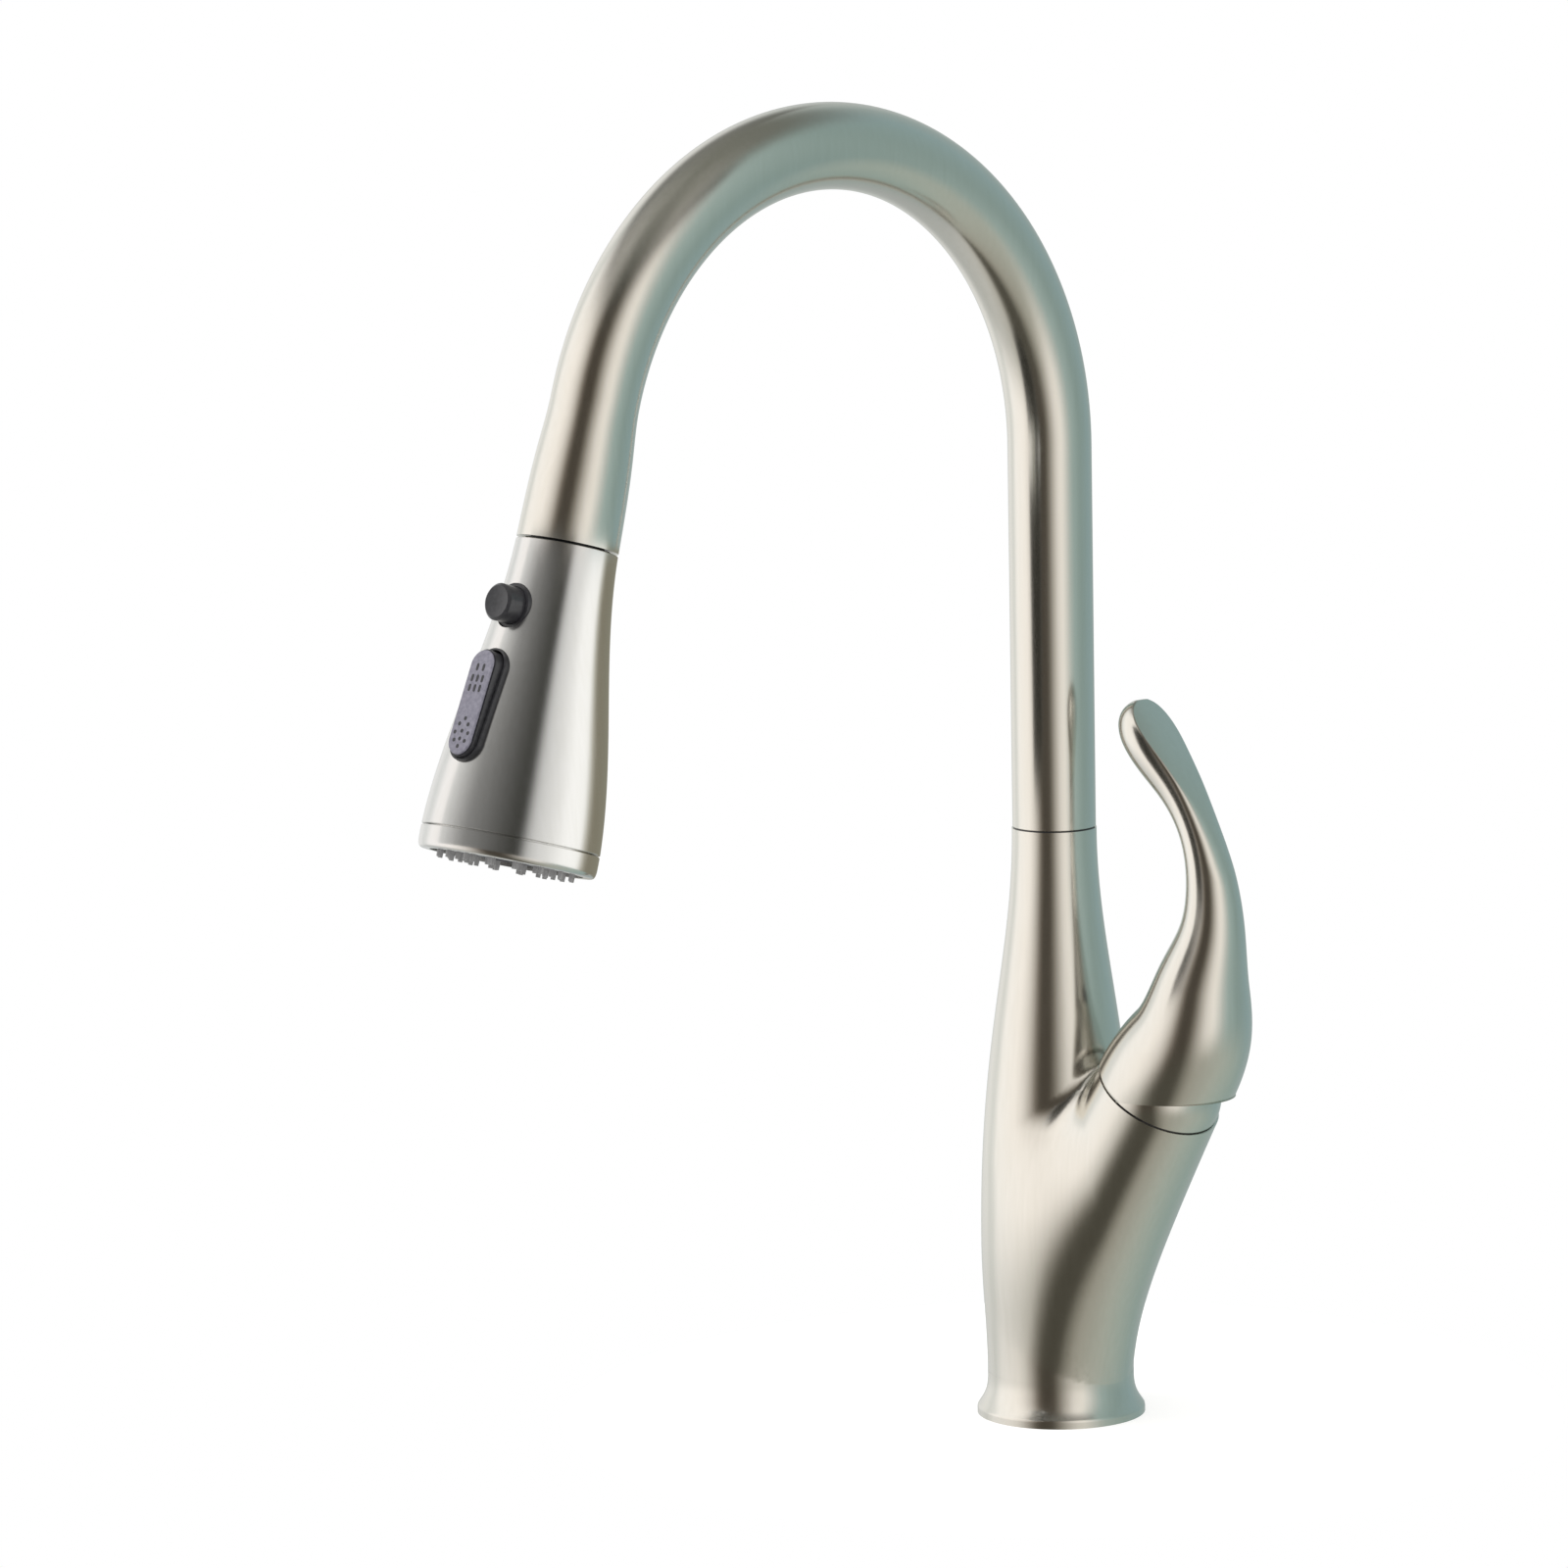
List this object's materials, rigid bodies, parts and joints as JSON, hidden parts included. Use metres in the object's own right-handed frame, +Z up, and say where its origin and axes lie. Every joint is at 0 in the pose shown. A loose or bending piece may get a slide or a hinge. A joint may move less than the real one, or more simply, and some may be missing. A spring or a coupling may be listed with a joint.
{
  "type": "pull-out kitchen faucet",
  "caption": "Single-lever kitchen faucet with a leaning lever branch, a swivelling high arched spout and a conical spray head that pulls down on a hose, with pause button and mode rocker.",
  "frame": {"origin": "centre of the base on the worktop, which is the mouth of the threaded shank socket", "axes": "+Z up along the column and the spout's swivel axis, spout and spray head towards -Y, lever branch leaning towards +X"},
  "size_m": [0.1013, 0.2751, 0.4089],
  "materials": {
    "brushed_nickel": "satin brushed nickel, warm grey",
    "seal_rubber": "matt black rubber",
    "black_plastic": "dark grey to black moulded plastic",
    "dark_plastic": "dark grey moulded plastic",
    "white_bearing": "white acetal",
    "cartridge_plastic": "off-white engineering plastic",
    "ceramic_disc": "lapped alumina",
    "brass": "machined brass",
    "steel": "stainless steel",
    "hose_braid": "grey braided nylon hose",
    "magnet": "sintered magnet",
    "nozzle_silicone": "soft grey silicone",
    "rocker_grey": "light violet grey plastic"
  },
  "bodies": {
    "base": {"faucet_body": "brushed_nickel", "base_gasket": "seal_rubber", "cartridge_base": "cartridge_plastic", "port_seals": "seal_rubber", "fixed_disc": "ceramic_disc", "cartridge_housing": "cartridge_plastic", "cartridge_nut": "brass", "bonnet_ring": "black_plastic", "bonnet": "brushed_nickel", "thrust_ring": "white_bearing", "lower_hose": "hose_braid"},
    "temperature": {"cartridge_turret": "cartridge_plastic", "lever_pin": "steel"},
    "disc": {"moving_disc": "ceramic_disc", "disc_carrier": "cartridge_plastic"},
    "handle": {"handle_lever": "brushed_nickel", "handle_screw": "steel", "index_plug": "black_plastic", "cartridge_lever": "brass"},
    "spout": {"spout_tube": "brushed_nickel", "spout_insert": "brass", "glide_rings": "white_bearing", "retaining_clip": "steel", "dock_sleeve": "black_plastic", "dock_magnet": "magnet", "upper_hose": "hose_braid"},
    "hose_end": {"hose_lead": "hose_braid", "hose_ferrule": "steel"},
    "spray_head": {"hose_nut": "brass", "hose_washer": "seal_rubber", "head_core": "black_plastic", "docking_ring": "steel", "check_valve": "white_bearing", "head_shell": "brushed_nickel", "head_rim": "brushed_nickel", "spray_plate": "dark_plastic", "spray_jets": "nozzle_silicone", "aerator_housing": "dark_plastic", "aerator_insert": "dark_plastic", "rocker_frame": "black_plastic", "rocker_pin": "steel", "button_sleeve": "black_plastic", "button_spring": "steel"},
    "pause_button": {"pause_button": "black_plastic"},
    "mode_rocker": {"mode_rocker": "black_plastic", "rocker_face": "rocker_grey"},
    "diverter": {"diverter_spool": "white_bearing"}
  },
  "joints": [
    {"name": "spout_swivel", "type": "hinge", "parent": "base", "child": "spout", "pos_m": [0, 0, 0.1836], "axis": [0, 0, 1], "continuous": true},
    {"name": "temperature_turn", "type": "hinge", "parent": "base", "child": "temperature", "pos_m": [0.0428, 0, 0.1052], "axis": [0.5299, 0, 0.848], "range_deg": [-45, 45]},
    {"name": "lever_flow", "type": "hinge", "parent": "temperature", "child": "handle", "pos_m": [0.0428, 0, 0.1052], "axis": [0, 1, 0], "range_deg": [0, 26]},
    {"name": "disc_slide", "type": "slide", "parent": "temperature", "child": "disc", "axis": [-0.848, 0, 0.5299], "range_m": [0, 0.0027]},
    {"name": "hose_pull", "type": "slide", "parent": "spout", "child": "hose_end", "axis": [0, -0.284, -0.9588], "range_m": [0, 0.45], "stiffness_N_per_m": 4, "springref_m": -1.5, "deforming": ["hose_lead"]},
    {"name": "head_spin", "type": "hinge", "parent": "hose_end", "child": "spray_head", "pos_m": [0, -0.1988, 0.28752], "axis": [0, -0.284, -0.9588], "continuous": true},
    {"name": "button_press", "type": "slide", "parent": "spray_head", "child": "pause_button", "axis": [0, 0.9588, -0.284], "range_m": [0, 0.0025], "stiffness_N_per_m": 300, "springref_m": -0.002, "deforming": ["button_spring"]},
    {"name": "rocker_turn", "type": "hinge", "parent": "spray_head", "child": "mode_rocker", "pos_m": [0, -0.23025, 0.2439], "axis": [-1, 0, 0], "range_deg": [0, 6.1]},
    {"name": "diverter_slide", "type": "slide", "parent": "spray_head", "child": "diverter", "axis": [0, -0.284, -0.9588], "range_m": [0, 0.0017]}
  ],
  "couplings": [
    {"joint": "disc_slide", "follows": "lever_flow", "m_per_rad": 0.0058},
    {"joint": "diverter_slide", "follows": "rocker_turn", "m_per_rad": 0.01537}
  ]
}
